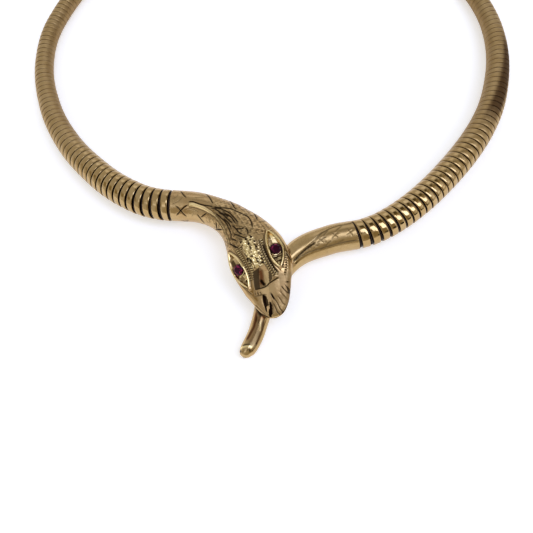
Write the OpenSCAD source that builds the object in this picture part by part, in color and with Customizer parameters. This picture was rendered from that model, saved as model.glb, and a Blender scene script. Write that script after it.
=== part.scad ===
// Snake collar: a tube of gas-pipe bands that carries a snake's head at one end
// and its tail at the other. The tail passes under the head and holds there.
// The collar lies flat. +Z is up, the snout points to -Y, and the origin is at
// the middle of its footprint, on the surface that it lies on.

/* [Gas-pipe tube] */
// Diameter of the tube on the head's side
head_side_d = 8.05; // [7.4:0.05:8.2]
// Diameter of the tube on the tail's side
tail_side_d = 7.3; // [7:0.05:7.6]
// Diameter of the tube behind the neck
back_d = 5.2; // [5:0.1:6]
// Distance from one band to the next behind the neck
band_pitch = 1.63; // [1.6:0.01:1.8]
// Gap between two bands behind the neck
band_gap = 0.24; // [0.22:0.01:0.28]
// How much wider the gap beside a sleeve is
end_gap = 0.45; // [0.2:0.05:0.5]
// Thickness of a band from its crest to its bore
band_wall = 0.75; // [0.6:0.05:0.8]
// How far a band's crest stands above its edges
band_crown = 0.15; // [0.1:0.05:0.35]
// Wall of the inner strip that closes the gaps
core_wall = 0.6; // [0.4:0.1:1]

/* [Head] */
// Height of the tube's centre line where it meets the head
neck_z = 4.6; // [4.3:0.1:5]
// Depth of the socket that takes the tube in a sleeve
socket_depth = 3; // [2:0.5:4]
// How far an eye's rim stands above the cheek
rim_height = 0.4; // [0:0.1:0.6]
// Length of an eye's rim
rim_length = 10; // [8:0.1:10.4]
// Width of an eye's rim
rim_width = 3.2; // [2.8:0.1:3.6]
// How deep the plate inside a rim lies
plate_depth = 0.25; // [0:0.05:0.4]

/* [Stones] */
// Diameter of a stone
stone_d = 2.6; // [2.2:0.1:2.7]
// Height of a stone above its girdle
crown_h = 0.45; // [0.3:0.05:0.6]
// Depth of a stone below its girdle
pavilion_h = 0.85; // [0.6:0.05:0.9]

/* [Fit] */
// Gap between pieces that are set into each other
fit_gap = 0.1; // [0.06:0.01:0.12]
// Gap round the inner strip
core_gap = 0.16; // [0.14:0.01:0.2]
// Gap between the tail and the head above it
tail_gap = 0.25; // [0.2:0.05:0.4]
// Thickness of the spring catch between tail and head
catch_t = 0.4; // [0.3:0.05:0.5]

/* [Hidden] */

// Stations of the tube's centre line from head to tail: x, y, heading
COLLAR = [
    [-29.3, -39.45, 168.5],
    [-38.3, -35.9, 147.2],
    [-48.15, -27.55, 131.6],
    [-56.85, -16.2, 120.8],
    [-63.5, -1.6, 106.6],
    [-66.5, 14.9, 91.5],
    [-64.25, 31.65, 70.4],
    [-34.1, 69.1, 30],
    [11.0, 76.9, -10],
    [49.7, 53.45, -51.2],
    [66.35, 10.7, -92.1],
    [63.2, -6.5, -108.8],
    [56.4, -21.3, -122.9],
    [47.0, -33.0, -134.3],
    [36.9, -42.2, -140.7],
    [26.5, -49.2, -151.6],
    [15.5, -52.8, -175.5],
];
// Stations of the head's spine from the tube to the snout: x, y, heading
HEAD_PATH = [
    [-29.3, -39.45, -11.5],
    [-22.15, -41.15, -22.3],
    [-16.55, -44.45, -38],
    [-12.4, -49.1, -56.4],
    [-9.9, -54.05, -69],
    [-8.2, -59.2, -71],
    [-7.0, -65.7, -79],
    [-6.05, -73.25, -82],
];
// Sections of the head along its spine. The crown's curve is 2 where it is an ellipse and
// more where it is squarer, and the roll lifts the snake's left cheek.
// distance, height of the centre, half width, height above, depth below, roll, crown's curve
HEAD_FORM = [
    [0.0, neck_z, 3.98, 3.98, 3.98, 0, 2],
    [6.6, 4.8, 3.87, 3.87, 3.88, 2, 2],
    [11.6, 5.2, 3.9, 3.85, 3.7, 5, 2],
    [15.6, 5.7, 4.35, 3.8, 3.5, 8, 2],
    [18.6, 6.1, 4.85, 3.8, 3.3, 11, 2],
    [21.6, 6.5, 5.65, 3.9, 3.1, 13, 2],
    [24.6, 6.8, 6.45, 4.0, 2.9, 15, 2.05],
    [27.6, 6.9, 7.2, 3.9, 2.7, 16, 2.1],
    [30.6, 6.8, 7.4, 3.6, 2.6, 16, 2.15],
    [33.7, 6.5, 7.05, 3.1, 2.4, 15, 2.2],
    [36.9, 6.1, 5.95, 2.5, 2.1, 14, 2.3],
    [40.0, 5.7, 4.65, 2.0, 1.8, 12, 2.4],
    [41.8, 5.4, 3.8, 1.6, 1.5, 10, 2.4],
    [43.3, 5.2, 2.8, 1.25, 1.2, 9, 2.3],
    [44.2, 5.1, 1.9, 0.9, 0.8, 8, 2.2],
    [44.6, 5.1, 1.1, 0.55, 0.5, 8, 2.2],
    [44.8, 5.1, 0.3, 0.2, 0.2, 8, 2],
];
// Stations of the tail's centre line from the tube to its tip: x, y, heading
TAIL_PATH = [
    [15.5, -52.8, -175.5],
    [9.2, -53.4, -167],
    [1.55, -55.65, -152.3],
    [-4.85, -61.85, -126],
    [-8.65, -68.7, -107],
    [-10.6, -73.9, -112],
    [-13.55, -78.9, -128.4],
    [-14.9, -81.6, -128],
];
// Sections of the tail along its centre line: distance, height of the centre, radius
TAIL_FORM = [
    [0.0, 3.66, 3.65],
    [7.0, 3.64, 3.63],
    [11.0, 3.56, 3.55],
    [15.1, 3.38, 3.3],
    [19.7, 3.05, 2.85],
    [24.7, 2.66, 2.63],
    [29.7, 2.37, 2.34],
    [34.6, 2.08, 2.05],
    [39.4, 2.02, 2.0],
    [41.8, 2.0, 1.9],
    [43.0, 2.0, 1.6],
    [43.8, 2.0, 1.1],
    [44.2, 2.0, 0.4],
];
// Places of the eyes: distance along the spine, angle round the section from the
// snake's left side, and the turn of the rim round its stone
EYES = [
    [31.0, 49.5, -1.5],
    [31.0, 134, -4],
];

// Diameters change over these stretches of the tube, measured from its own end
head_side_taper = [4, 78];
tail_side_taper = [34, 112];
// The bands stand further apart near the sleeves: how much further, and over what length
head_side_stretch = [[0.5, 9], [0.28, 45]];
tail_side_stretch = [[0.45, 6], [0.55, 50]];
gap_reach = 12;
// The tube rises over this length to meet the head
rise_length = 45;
// The stretch of the tail that lies under the spring catch, and half of the catch's wrap
catch_span = [18.5, 23];
catch_half_wrap = 48;

path_steps = 36;
core_sides = 10;
core_step = 4;
crown_sides = 36;
throat_sides = 12;
tail_sides = 20;
sleeve_rings = 15;
mask_rings = 55;
mask_start = 20;
// Half the width of the ridge round an eye, and how far above or below its centre a cheek counts as near it
ridge_half_width = 0.3;
eye_reach = 2.4;
stone_sides = 8;
stone_girdle = 0.06;
// Sizes of a stone's table and of its flat point below, as parts of its diameter
stone_table = 0.6;
stone_point = 0.16;
tail_rod_rings = 20;
tail_tip_rings = 12;
tail_tip_start = 40;
catch_rings = 6;

function heading(angle) = [cos(angle), sin(angle)];
function ease(t) = let (c = min(max(t, 0), 1)) c * c * (3 - 2 * c);
function power(v, e) = sign(v) * pow(abs(v), e);
function unit(v) = v / norm(v);

// Cubic from value p to value q over t = 0 to 1, with slope u at p and v at q
function cubic(p, u, q, v, t) =
    (2 * t * t * t - 3 * t * t + 1) * p + (t * t * t - 2 * t * t + t) * u
    + (3 * t * t - 2 * t * t * t) * q + (t * t * t - t * t) * v;

// Point between stations a and b, on a curve that is an arc where the headings allow one
function between(a, b, t) =
    let (p = [a.x, a.y], q = [b.x, b.y])
    let (reach = norm(q - p) / pow(cos((b[2] - a[2]) / 4), 2))
    cubic(p, heading(a[2]) * reach, q, heading(b[2]) * reach, t);

function trace(stations) = concat(
    [for (i = [0 : len(stations) - 2], j = [0 : path_steps - 1])
        between(stations[i], stations[i + 1], j / path_steps)],
    [[stations[len(stations) - 1].x, stations[len(stations) - 1].y]]);

// Distance along a traced line at each of its points
function distances(line) =
    [for (i = 0, s = 0; i < len(line);
        s = s + (i + 1 < len(line) ? norm(line[i + 1] - line[i]) : 0), i = i + 1) s];

// A path is two lookup tables, x over distance and y over distance
function path_of(stations) =
    let (line = trace(stations))
    let (s = distances(line))
    [for (axis = [0, 1]) [for (i = [0 : len(line) - 1]) [s[i], line[i][axis]]]];
function on(path, s) = [lookup(s, path[0]), lookup(s, path[1])];
function ahead(path, s) = unit(on(path, s + 0.4) - on(path, s - 0.4));
function length_of(path) = path[0][len(path[0]) - 1][0];

// Smooth value of column c of a table at distance s
function row_before(table, s, i = 0) =
    i >= len(table) - 2 || s < table[i + 1][0] ? i : row_before(table, s, i + 1);
function slope(table, c, i) =
    let (a = table[max(i - 1, 0)], b = table[min(i + 1, len(table) - 1)])
    (b[c] - a[c]) / (b[0] - a[0]);
function form(table, c, s) =
    let (i = row_before(table, s), a = table[i], b = table[i + 1])
    let (w = b[0] - a[0])
    cubic(a[c], slope(table, c, i) * w, b[c], slope(table, c, i + 1) * w, (s - a[0]) / w);

collar_path = path_of(COLLAR);
head_path = path_of(HEAD_PATH);
tail_path = path_of(TAIL_PATH);
collar_length = length_of(collar_path);
head_length = HEAD_FORM[len(HEAD_FORM) - 1][0];
tail_length = TAIL_FORM[len(TAIL_FORM) - 1][0];

// The tube's radius and the height of its centre at distance s from the head
function taper(from_d, span, s) =
    from_d - (from_d - back_d) * ease((s - span[0]) / (span[1] - span[0]));
function tube_r(s) =
    (s < collar_length / 2
        ? taper(head_side_d, head_side_taper, s)
        : taper(tail_side_d, tail_side_taper, collar_length - s)) / 2;
rise = neck_z - head_side_d / 2;
function tube_z(s) = tube_r(s) + rise * pow(max(1 - s / rise_length, 0), 2);
function tube_point(s) = concat(on(collar_path, s), tube_z(s));
function tube_slope(s) = atan2(tube_z(s + 0.5) - tube_z(s - 0.5), 1);

// The distance from band to band, and the gap between two bands
function spread(stretch, s) = stretch[0][0] * exp(-s / stretch[0][1]) + stretch[1][0] * exp(-s / stretch[1][1]);
function pitch(s) =
    band_pitch + spread(head_side_stretch, s) + spread(tail_side_stretch, collar_length - s);
function gap(s) =
    band_gap + end_gap * (exp(-s / gap_reach) + exp((s - collar_length) / gap_reach));

// Number of bands that fit up to each distance, and from it the place of band k
counting = [for (s = 0, n = 0; s <= collar_length; n = n + 1 / pitch(s + 0.5), s = s + 1) [n, s]];
fitting = counting[len(counting) - 1][0] + (collar_length - floor(collar_length)) / pitch(collar_length);
band_count = round(fitting);
function band_place(k) = lookup((k + 0.5) * fitting / band_count, counting);

// Triangles between neighbouring rings of n points each; a loop also joins the last to the first
function ring_faces(rings, n, loop) =
    [for (i = [0 : rings - (loop ? 1 : 2)], j = [0 : n - 1], half = [0, 1])
        let (a = i * n, b = ((i + 1) % rings) * n, k = (j + 1) % n)
        half == 0 ? [a + j, b + j, b + k] : [a + j, b + k, a + k]];
module skin(rings, loop = false) {
    n = len(rings[0]);
    last = (len(rings) - 1) * n;
    caps = loop ? [] : [[for (j = [0 : n - 1]) j], [for (j = [n - 1 : -1 : 0]) last + j]];
    polyhedron([for (ring = rings, point = ring) point], concat(ring_faces(len(rings), n, loop), caps));
}

// The same for rings that go out along one side of a bent strip and back along its other side
module strip_skin(rings) {
    n = len(rings[0]);
    last = (len(rings) - 1) * n;
    end = [for (j = [0 : n / 2 - 2]) [j, j + 1, n - 2 - j, n - 1 - j]];
    caps = concat(end, [for (face = end) [for (k = [3 : -1 : 0]) last + face[k]]]);
    polyhedron([for (ring = rings, point = ring) point], concat(ring_faces(len(rings), n, false), caps));
}

// A ring of points round a path, upright across it. Way is -1 where the path runs against the rings' order
function round_ring(path, s, z, r, sides, way = 1) =
    let (centre = on(path, s), along = ahead(path, s) * way)
    [for (j = [0 : sides - 1])
        let (a = 360 * j / sides)
        concat(centre + [-along.y, along.x] * r * cos(a), z + r * sin(a))];

function tail_ring(s) = round_ring(tail_path, s, form(TAIL_FORM, 1, s), form(TAIL_FORM, 2, s), tail_sides);

// Room for the tail and its catch under the head: the height of its roof over plan point p
tail_marks = [for (s = [6 : 0.5 : tail_length])
    concat(on(tail_path, s), form(TAIL_FORM, 1, s), form(TAIL_FORM, 2, s),
        tail_gap + (catch_t + fit_gap) * ease((s - catch_span[0] + 2) / 1.5)
            * ease((catch_span[1] + 2 - s) / 1.5))];
function roof(p) =
    max([for (m = tail_marks)
        let (r = m[3] + m[4], d = norm([p.x - m.x, p.y - m.y]))
        d < r ? m.z + sqrt(r * r - d * d) : 0]);

// A point of the head before its eyes are cut, at distance s and angle a round the section
function plain_head(s, a) =
    let (centre = on(head_path, s), along = ahead(head_path, s))
    let (side = [-along.y, along.x], upper = sin(a) > 0)
    let (e = 2 / (upper ? form(HEAD_FORM, 6, s) : 2), roll = form(HEAD_FORM, 5, s))
    let (across = form(HEAD_FORM, 2, s) * power(cos(a), e))
    let (up = form(HEAD_FORM, upper ? 3 : 4, s) * power(sin(a), e))
    concat(centre + side * (across * cos(roll) - up * sin(roll)),
        form(HEAD_FORM, 1, s) + up * cos(roll) + across * sin(roll));

// An eye's own axes: its centre, the way along its rim, across it and out of the cheek
function eye_frame(eye) =
    let (c = plain_head(eye[0], eye[1]))
    let (along = unit(plain_head(eye[0] + 0.5, eye[1]) - plain_head(eye[0] - 0.5, eye[1])))
    let (round = unit(plain_head(eye[0], eye[1] - 2) - plain_head(eye[0], eye[1] + 2)))
    let (out = unit(cross(along, round)))
    let (across = cross(out, along))
    [c, along * cos(eye[2]) - across * sin(eye[2]), across * cos(eye[2]) + along * sin(eye[2]), out];
eye_frames = [for (eye = EYES) eye_frame(eye)];

// How far the rim and plate of an eye lift a point of the cheek
function eye_lift(f, p) =
    let (d = p - f[0])
    let (u = d * f[1], v = d * f[2], depth = abs(d * f[3]))
    let (edge = abs(v) - rim_width / 2 * (1 - pow(2 * u / rim_length, 2)))
    depth > eye_reach || abs(u) > rim_length / 2 + 1 ? 0 :
        (edge > 0 ? rim_height : rim_height + plate_depth) * exp(-pow(edge / ridge_half_width, 2))
        - (edge < 0 ? plate_depth : 0);

function head_point(s, a) =
    let (p = plain_head(s, a))
    sin(a) > 0 && s > mask_start
        ? p + eye_frames[0][3] * eye_lift(eye_frames[0], p) + eye_frames[1][3] * eye_lift(eye_frames[1], p)
        : (sin(a) < 0 && s > mask_start - 4 ? [p.x, p.y, max(p.z, roof(p))] : p);
function head_angle(j) = j <= crown_sides ? 180 * j / crown_sides : 180 + 180 * (j - crown_sides) / throat_sides;
function head_ring(s) = [for (j = [0 : crown_sides + throat_sides - 1]) head_point(s, head_angle(j))];
function head_socket_ring(s, r) =
    let (centre = on(head_path, s), along = ahead(head_path, s))
    [for (j = [0 : crown_sides + throat_sides - 1])
        let (a = head_angle(j))
        concat(centre + [-along.y, along.x] * r * cos(a), neck_z + r * sin(a))];

module band(s) {
    width = pitch(s) - gap(s);
    r = tube_r(s);
    bulge = (width * width / 4 + band_crown * band_crown) / (2 * band_crown);
    along = ahead(collar_path, s);
    translate(tube_point(s))
        rotate([0, -tube_slope(s), atan2(along.y, along.x)])
            rotate([0, 90, 0])
                rotate_extrude($fn = 32)
                    intersection() {
                        translate([r - band_wall, -width / 2]) square([band_wall, width]);
                        translate([r - bulge, 0]) circle(bulge, $fn = 48);
                    }
}

module gas_pipe_bands() {
    color([0.66, 0.56, 0.38])
        for (k = [0 : band_count - 1])
            band(band_place(k));
}

// The inner strip is a tube that runs through all bands and into both sleeves
module gas_pipe_core() {
    reach = socket_depth - core_gap;
    places = [for (i = [0 : ceil(collar_length / core_step)]) min(i * core_step, collar_length)];
    function shell(inset) = concat(
        [round_ring(head_path, reach, neck_z, tube_r(0) - inset, core_sides, -1)],
        [for (s = places)
            round_ring(collar_path, s, tube_z(s), tube_r(s) - inset, core_sides)],
        [round_ring(tail_path, reach, TAIL_FORM[0][1], tube_r(collar_length) - inset, core_sides)]);
    outer = shell(band_wall + core_gap);
    inner = shell(band_wall + core_gap + core_wall);
    turned = [for (i = [len(inner) - 1 : -1 : 0]) inner[i]];
    color([0.30, 0.24, 0.15])
        skin(concat(outer, turned), loop = true);
}

module head() {
    first = gap(0) / 2;
    bore = tube_r(0) - band_wall;
    rings = concat(
        [head_socket_ring(first + socket_depth, bore), head_socket_ring(first, bore)],
        [for (i = [0 : sleeve_rings - 1]) head_ring(first + (mask_start - first) * i / sleeve_rings)],
        [for (i = [0 : mask_rings]) head_ring(mask_start + (head_length - mask_start) * i / mask_rings)]);
    color([0.68, 0.56, 0.38])
        difference() {
            skin(rings);
            for (f = eye_frames)
                seat(f);
        }
}

module on_eye(f) {
    multmatrix([
        [f[1].x, f[2].x, f[3].x, f[0].x],
        [f[1].y, f[2].y, f[3].y, f[0].y],
        [f[1].z, f[2].z, f[3].z, f[0].z],
    ])
        children();
}

// The drilled seat that a stone stands in
module seat(f) {
    on_eye(f)
        translate([0, 0, -pavilion_h - fit_gap])
            cylinder(h = 4, d = stone_d + 2 * fit_gap, $fn = 32);
}

// A round stone: a table, sixteen crown facets and eight pavilion facets
module stone(f) {
    function ring(r, z, turn) =
        [for (j = [0 : stone_sides - 1])
            [r * cos(360 / stone_sides * (j + turn)), r * sin(360 / stone_sides * (j + turn)), z]];
    color([0.36, 0.05, 0.18])
        on_eye(f)
            skin([
                ring(stone_d / 2 * stone_point, -pavilion_h, 0),
                ring(stone_d / 2, -stone_girdle, 0),
                ring(stone_d / 2, 0, 0),
                ring(stone_d / 2 * stone_table, crown_h, 0.5),
            ]);
}

module stone_left() {
    stone(eye_frames[0]);
}

module stone_right() {
    stone(eye_frames[1]);
}

module tail() {
    first = gap(collar_length) / 2;
    bore = tube_r(collar_length) - band_wall;
    socket = [for (s = [first + socket_depth, first])
        round_ring(tail_path, s, TAIL_FORM[0][1], bore, tail_sides)];
    rod = [for (i = [0 : tail_rod_rings]) tail_ring(first + (tail_tip_start - first) * i / tail_rod_rings)];
    tip = [for (i = [1 : tail_tip_rings])
        tail_ring(tail_tip_start + (tail_length - tail_tip_start) * i / tail_tip_rings)];
    color([0.66, 0.56, 0.38])
        skin(concat(socket, rod, tip));
}

// A curved spring plate that lies on the tail and grips it to the head
module tail_catch() {
    function arch(s, r) =
        let (centre = on(tail_path, s), along = ahead(tail_path, s))
        [for (j = [0 : catch_rings])
            let (a = 90 + catch_half_wrap * (2 * j / catch_rings - 1))
            concat(centre + [-along.y, along.x] * r * cos(a), form(TAIL_FORM, 1, s) + r * sin(a))];
    function section(s) =
        let (inner = form(TAIL_FORM, 2, s) + fit_gap)
        let (low = arch(s, inner), high = arch(s, inner + catch_t))
        concat(high, [for (j = [catch_rings : -1 : 0]) low[j]]);
    color([0.60, 0.50, 0.34])
        strip_skin([for (s = [catch_span[0] : 0.5 : catch_span[1]]) section(s)]);
}

gas_pipe_bands();
gas_pipe_core();
head();
stone_left();
stone_right();
tail();
tail_catch();
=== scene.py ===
"""Looks of a gold gas-pipe snake collar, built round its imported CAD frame.

The tables and curves are those of the part's own source, in millimetres. Each piece is a
mesh worked out here: the wound strip of the tube, its inner strip, the engraved head, the
two stones and the tail.
"""

import math

import bpy
import numpy as np
from mathutils import Matrix, Vector


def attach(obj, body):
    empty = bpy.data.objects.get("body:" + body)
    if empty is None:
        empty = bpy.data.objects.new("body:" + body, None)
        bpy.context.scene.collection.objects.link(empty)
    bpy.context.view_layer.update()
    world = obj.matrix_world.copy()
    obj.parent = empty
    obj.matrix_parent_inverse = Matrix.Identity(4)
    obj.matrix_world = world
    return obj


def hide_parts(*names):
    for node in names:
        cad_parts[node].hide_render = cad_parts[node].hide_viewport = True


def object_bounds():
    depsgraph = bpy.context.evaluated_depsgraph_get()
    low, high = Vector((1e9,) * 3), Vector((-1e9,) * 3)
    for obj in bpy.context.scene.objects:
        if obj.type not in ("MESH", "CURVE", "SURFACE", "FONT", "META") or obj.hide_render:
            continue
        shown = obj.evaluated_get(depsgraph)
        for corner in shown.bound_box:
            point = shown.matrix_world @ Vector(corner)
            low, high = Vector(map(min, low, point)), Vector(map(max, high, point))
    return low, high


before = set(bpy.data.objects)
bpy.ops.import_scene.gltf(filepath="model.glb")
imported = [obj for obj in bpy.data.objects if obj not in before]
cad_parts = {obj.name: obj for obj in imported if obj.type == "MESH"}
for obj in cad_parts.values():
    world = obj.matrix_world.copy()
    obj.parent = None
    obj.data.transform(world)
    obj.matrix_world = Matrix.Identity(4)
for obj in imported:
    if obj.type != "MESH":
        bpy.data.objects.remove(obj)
cad_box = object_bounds()

MM = 0.001
BOX_MARGIN = 0.0005
UP = np.array([0.0, 0.0, 1.0])

# The collar's measures, as in the part's source

# Stations of the tube's centre line from head to tail: x, y, heading
COLLAR = [
    [-29.3, -39.45, 168.5], [-38.3, -35.9, 147.2], [-48.15, -27.55, 131.6], [-56.85, -16.2, 120.8],
    [-63.5, -1.6, 106.6], [-66.5, 14.9, 91.5], [-64.25, 31.65, 70.4], [-34.1, 69.1, 30], [11, 76.9, -10],
    [49.7, 53.45, -51.2], [66.35, 10.7, -92.1], [63.2, -6.5, -108.8], [56.4, -21.3, -122.9],
    [47, -33, -134.3], [36.9, -42.2, -140.7], [26.5, -49.2, -151.6], [15.5, -52.8, -175.5],
]
HEAD_PATH = [
    [-29.3, -39.45, -11.5], [-22.15, -41.15, -22.3], [-16.55, -44.45, -38], [-12.4, -49.1, -56.4],
    [-9.9, -54.05, -69], [-8.2, -59.2, -71], [-7, -65.7, -79], [-6.05, -73.25, -82],
]
# Distance, height of the centre, half width, height above, depth below, roll, crown's curve
HEAD_FORM = [
    [0, 4.6, 3.98, 3.98, 3.98, 0, 2], [6.6, 4.8, 3.87, 3.87, 3.88, 2, 2], [11.6, 5.2, 3.9, 3.85, 3.7, 5, 2],
    [15.6, 5.7, 4.35, 3.8, 3.5, 8, 2], [18.6, 6.1, 4.85, 3.8, 3.3, 11, 2],
    [21.6, 6.5, 5.65, 3.9, 3.1, 13, 2], [24.6, 6.8, 6.45, 4, 2.9, 15, 2.05],
    [27.6, 6.9, 7.2, 3.9, 2.7, 16, 2.1], [30.6, 6.8, 7.4, 3.6, 2.6, 16, 2.15],
    [33.7, 6.5, 7.05, 3.1, 2.4, 15, 2.2], [36.9, 6.1, 5.95, 2.5, 2.1, 14, 2.3],
    [40, 5.7, 4.65, 2, 1.8, 12, 2.4], [41.8, 5.4, 3.8, 1.6, 1.5, 10, 2.4],
    [43.3, 5.2, 2.8, 1.25, 1.2, 9, 2.3], [44.2, 5.1, 1.9, 0.9, 0.8, 8, 2.2],
    [44.6, 5.1, 1.1, 0.55, 0.5, 8, 2.2], [44.8, 5.1, 0.3, 0.2, 0.2, 8, 2],
]
TAIL_PATH = [
    [15.5, -52.8, -175.5], [9.2, -53.4, -167], [1.55, -55.65, -152.3], [-4.85, -61.85, -126],
    [-8.65, -68.7, -107], [-10.6, -73.9, -112], [-13.55, -78.9, -128.4], [-14.9, -81.6, -128],
]
# Distance, height of the centre, radius
TAIL_FORM = [
    [0, 3.66, 3.65], [7, 3.64, 3.63], [11, 3.56, 3.55], [15.1, 3.38, 3.3], [19.7, 3.05, 2.85],
    [24.7, 2.66, 2.63], [29.7, 2.37, 2.34], [34.6, 2.08, 2.05], [39.4, 2.02, 2], [41.8, 2, 1.9],
    [43, 2, 1.6], [43.8, 2, 1.1], [44.2, 2, 0.4],
]
# Places of the eyes: distance, angle round the section, turn of the rim round its stone
EYES = [[31.0, 49.5, -1.5], [31.0, 134, -4]]
HEAD_SIDE_D, TAIL_SIDE_D, BACK_D = 8.05, 7.3, 5.2
HEAD_SIDE_TAPER, TAIL_SIDE_TAPER = (4, 78), (34, 112)
BAND_PITCH = 1.63
HEAD_SIDE_STRETCH, TAIL_SIDE_STRETCH = ((0.5, 9), (0.28, 45)), ((0.45, 6), (0.55, 50))
BAND_WALL, CORE_GAP, CORE_WALL = 0.75, 0.16, 0.6
NECK_Z, RISE_LENGTH = 4.6, 45
SOCKET_DEPTH = 3
RIM_HEIGHT, RIM_LENGTH, RIM_WIDTH, PLATE_DEPTH = 0.4, 10, 3.2, 0.25
STONE_D, CROWN_H, PAVILION_H = 2.6, 0.45, 0.85
TAIL_GAP, CATCH_ROOM, CATCH_SPAN = 0.25, 0.5, (18.5, 23)

# The dark gaps between the turns: behind the neck, and how much wider beside a sleeve
SEAM_GAP, HEAD_GAP, TAIL_GAP_MORE = 0.14, 0.46, 0.33
HEAD_GAP_REACH, TAIL_GAP_REACH = 22, 42
# How much wider the gaps are on the outer side of the bend, and narrower on its inner side
OUTER_GAP = 0.22
# How deep the inner strip, the shoulders of its ridge and the ridge itself lie in the gaps
CORE_DEPTH, SHOULDER_DEPTH, RIDGE_DEPTH = BAND_WALL + CORE_GAP, 0.42, 0.34
# How far the edge of the head's sleeve leans, how much more the first turns lean, and over what length
HEAD_LEAN, FIRST_LEAN, LEAN_LENGTH = 0.12, 0.18, 6
# How wide below the tube, in degrees, the tail's sleeve turns back from following the strip
LEAN_BACK = 80
# Over what length of a sleeve its rows of points turn upright
UPRIGHT = 12


def ease(t):
    t = np.clip(t, 0, 1)
    return t * t * (3 - 2 * t)


def hump(d, width):
    """1 at distance 0, falling smoothly to 0 at that width."""
    return 1 - ease(np.abs(d) / width)


def between(x, low, high, soft, soft_high=None):
    """1 well between two values, falling smoothly to 0 at them over the soft lengths."""
    return ease((x - low) / soft) * ease((high - x) / (soft_high or soft))


def cubic(p, u, q, v, t):
    return (
        (2 * t**3 - 3 * t**2 + 1) * p + (t**3 - 2 * t**2 + t) * u
        + (3 * t**2 - 2 * t**3) * q + (t**3 - t**2) * v
    )


def unit(v):
    return v / np.linalg.norm(v, axis=-1, keepdims=True)


def cos_sin(degrees):
    return math.cos(math.radians(degrees)), math.sin(math.radians(degrees))


def outward(side, theta, top=UP):
    """The way out of a section, at an angle from its left over its top."""
    return np.cos(theta)[..., None] * side + np.sin(theta)[..., None] * top


class Path:
    """A plan curve through stations, read by the distance along it."""

    def __init__(self, stations, steps=36):
        points = []
        t = np.arange(steps)[:, None] / steps
        for a, b in zip(stations[:-1], stations[1:]):
            p, q = np.array(a[:2]), np.array(b[:2])
            reach = np.linalg.norm(q - p) / math.cos(math.radians(b[2] - a[2]) / 4) ** 2
            u, v = (reach * np.array(cos_sin(heading)) for heading in (a[2], b[2]))
            points.append(cubic(p, u, q, v, t))
        self.points = np.vstack([*points, [stations[-1][:2]]])
        self.s = np.r_[0, np.cumsum(np.linalg.norm(np.diff(self.points, axis=0), axis=1))]
        self.length = self.s[-1]

    def on(self, s):
        """The point at distance s. Before its start and past its end the path goes straight on."""
        s = np.asarray(s, float)
        point = np.stack([np.interp(s, self.s, self.points[:, k]) for k in (0, 1)], -1)
        before, past = np.minimum(s, 0)[..., None], np.maximum(s - self.length, 0)[..., None]
        first, last = (unit(self.points[k + 1] - self.points[k]) for k in (0, -2))
        return point + before * first + past * last

    def ahead(self, s):
        return unit(self.on(s + 0.4) - self.on(s - 0.4))

    def frame(self, s, z):
        """Centre, way along and way to the left, in three dimensions."""
        along = self.ahead(s)
        flat = np.zeros(np.shape(s))
        centre = np.concatenate([self.on(s), np.broadcast_to(z, flat.shape)[..., None]], -1)
        return (
            centre,
            np.stack([along[..., 0], along[..., 1], flat], -1),
            np.stack([-along[..., 1], along[..., 0], flat], -1),
        )


def form(table, column, s):
    """Smooth value of a table's column at distance s."""
    table = np.array(table, float)
    x, y = table[:, 0], table[:, column]
    slope = np.diff(y) / np.diff(x)
    m = np.r_[slope[0], (y[2:] - y[:-2]) / (x[2:] - x[:-2]), slope[-1]]
    i = np.clip(np.searchsorted(x, s, side="right") - 1, 0, len(x) - 2)
    w = x[i + 1] - x[i]
    return cubic(y[i], m[i] * w, y[i + 1], m[i + 1] * w, np.clip((s - x[i]) / w, 0, 1))


collar, head_path, tail_path = Path(COLLAR), Path(HEAD_PATH), Path(TAIL_PATH)
HEAD_LENGTH, TAIL_LENGTH = HEAD_FORM[-1][0], TAIL_FORM[-1][0]
# The tube's two ends: the sleeve's path, the height of its centre and the distance along the tube
HEAD_END, TAIL_END = (head_path, NECK_Z, 0.0), (tail_path, TAIL_FORM[0][1], collar.length)


def taper(from_d, span, s):
    return from_d - (from_d - BACK_D) * ease((s - span[0]) / (span[1] - span[0]))


def tube_r(s):
    """The tube's radius at distance s from the head."""
    headward = taper(HEAD_SIDE_D, HEAD_SIDE_TAPER, s)
    tailward = taper(TAIL_SIDE_D, TAIL_SIDE_TAPER, collar.length - s)
    return np.where(s < collar.length / 2, headward, tailward) / 2


def tube_z(s):
    """The height of the tube's centre. It lies on the surface, and rises a little to the head."""
    rise = NECK_Z - HEAD_SIDE_D / 2
    return tube_r(s) + rise * np.clip(1 - s / RISE_LENGTH, 0, None) ** 2


def spread(stretch, s):
    return sum(more * np.exp(-s / reach) for more, reach in stretch)


def pitch(s):
    """How far the strip goes on in a turn, more beside the sleeves where it is stretched."""
    return BAND_PITCH + spread(HEAD_SIDE_STRETCH, s) + spread(TAIL_SIDE_STRETCH, collar.length - s)


def seam_gap(s):
    """How wide the gaps between the turns are at distance s from the head."""
    more = HEAD_GAP * np.exp(-s / HEAD_GAP_REACH)
    return SEAM_GAP + more + TAIL_GAP_MORE * np.exp((s - collar.length) / TAIL_GAP_REACH)


counting = np.linspace(0, collar.length, 1500)
counts = np.r_[0, np.cumsum(np.diff(counting) / pitch((counting[1:] + counting[:-1]) / 2))]
TURNS = round(counts[-1])


def turn_place(n):
    """Distance from the head after n turns of the strip."""
    return np.interp(n * counts[-1] / TURNS, counts, counting)


def tail_lean(theta):
    """How far the seam at the tail's sleeve lies ahead of its mean, at an angle round the tube."""
    turned = np.mod(np.degrees(theta) + 90, 360)
    half = LEAN_BACK / 2
    forward = np.interp(turned, [0, half, 360 - half, 360], [0, half - 180, 180 - half, 0])
    return forward * pitch(collar.length) / 360


# Meshes


def add_object(name, data):
    made = bpy.data.objects.new(name, data)
    bpy.context.scene.collection.objects.link(made)
    return made


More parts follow.
